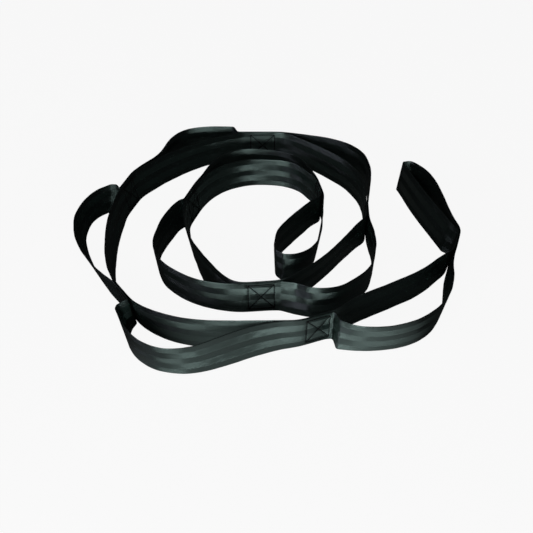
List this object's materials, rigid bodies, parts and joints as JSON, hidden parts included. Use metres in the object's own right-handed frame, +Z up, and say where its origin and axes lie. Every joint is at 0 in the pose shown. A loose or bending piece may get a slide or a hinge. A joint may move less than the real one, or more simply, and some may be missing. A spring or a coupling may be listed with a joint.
{
  "type": "stretching strap",
  "caption": "Long doubled webbing band sewn together at intervals into a chain of hand and foot loops, standing on its edge in a loose spiral.",
  "frame": {"origin": "on the ground, under the middle of the whole strap as it lies", "axes": "+Z up along the webbing's width, +Y away from the front of the spiral, +X to the right"},
  "size_m": [0.4745, 0.5365, 0.0381],
  "materials": {
    "webbing": "smooth woven webbing with lengthwise bands and a soft sheen",
    "thread": "bonded sewing thread"
  },
  "bodies": {
    "loop_01": {"outer_run_01": "webbing", "inner_run_01": "webbing", "needle_thread_01": "thread", "bobbin_thread_01": "thread"},
    "loop_02": {"outer_run_02": "webbing", "inner_run_02": "webbing", "needle_thread_02": "thread", "bobbin_thread_02": "thread"},
    "loop_03": {"outer_run_03": "webbing", "inner_run_03": "webbing", "needle_thread_03": "thread", "bobbin_thread_03": "thread"},
    "loop_04": {"outer_run_04": "webbing", "inner_run_04": "webbing", "needle_thread_04": "thread", "bobbin_thread_04": "thread"},
    "loop_05": {"outer_run_05": "webbing", "inner_run_05": "webbing", "needle_thread_05": "thread", "bobbin_thread_05": "thread"},
    "loop_06": {"outer_run_06": "webbing", "inner_run_06": "webbing", "needle_thread_06": "thread", "bobbin_thread_06": "thread"},
    "loop_07": {"outer_run_07": "webbing", "inner_run_07": "webbing", "needle_thread_07": "thread", "bobbin_thread_07": "thread"},
    "loop_08": {"outer_run_08": "webbing", "inner_run_08": "webbing", "needle_thread_08": "thread", "bobbin_thread_08": "thread"},
    "loop_09": {"outer_run_09": "webbing", "inner_run_09": "webbing", "needle_thread_09": "thread", "bobbin_thread_09": "thread"},
    "loop_10": {"outer_run_10": "webbing", "inner_run_10": "webbing"}
  },
  "joints": [
    {"name": "bend_at_seam_01", "type": "hinge", "parent": "loop_02", "child": "loop_01", "pos_m": [0.2223, -0.0416, 0.019], "axis": [0, 0, -1], "range_deg": [-3, 14]},
    {"name": "bend_at_seam_02", "type": "hinge", "parent": "loop_03", "child": "loop_02", "pos_m": [0.0413, -0.2061, 0.019], "axis": [0, 0, -1], "range_deg": [-2, 15]},
    {"name": "bend_at_seam_03", "type": "hinge", "parent": "loop_04", "child": "loop_03", "pos_m": [-0.1727, -0.1226, 0.019], "axis": [0, 0, -1], "range_deg": [-3, 14]},
    {"name": "bend_at_seam_04", "type": "hinge", "parent": "loop_05", "child": "loop_04", "pos_m": [-0.1665, 0.1385, 0.019], "axis": [0, 0, -1], "range_deg": [-3, 14]},
    {"name": "bend_at_seam_05", "type": "hinge", "parent": "loop_05", "child": "loop_06", "pos_m": [0.015, 0.25, 0.019], "axis": [0, 0, 1], "range_deg": [-2, 8]},
    {"name": "bend_at_seam_06", "type": "hinge", "parent": "loop_06", "child": "loop_07", "pos_m": [0.1233, 0.033, 0.019], "axis": [0, 0, 1], "range_deg": [-3, 9]},
    {"name": "bend_at_seam_07", "type": "hinge", "parent": "loop_07", "child": "loop_08", "pos_m": [-0.0261, -0.1295, 0.019], "axis": [0, 0, 1], "range_deg": [-2, 8]},
    {"name": "bend_at_seam_08", "type": "hinge", "parent": "loop_08", "child": "loop_09", "pos_m": [-0.0868, 0.1111, 0.019], "axis": [0, 0, 1], "range_deg": [-4, 12]},
    {"name": "bend_at_seam_09", "type": "hinge", "parent": "loop_09", "child": "loop_10", "pos_m": [0.0695, 0.0855, 0.019], "axis": [0, 0, 1], "range_deg": [-10, 8]}
  ]
}
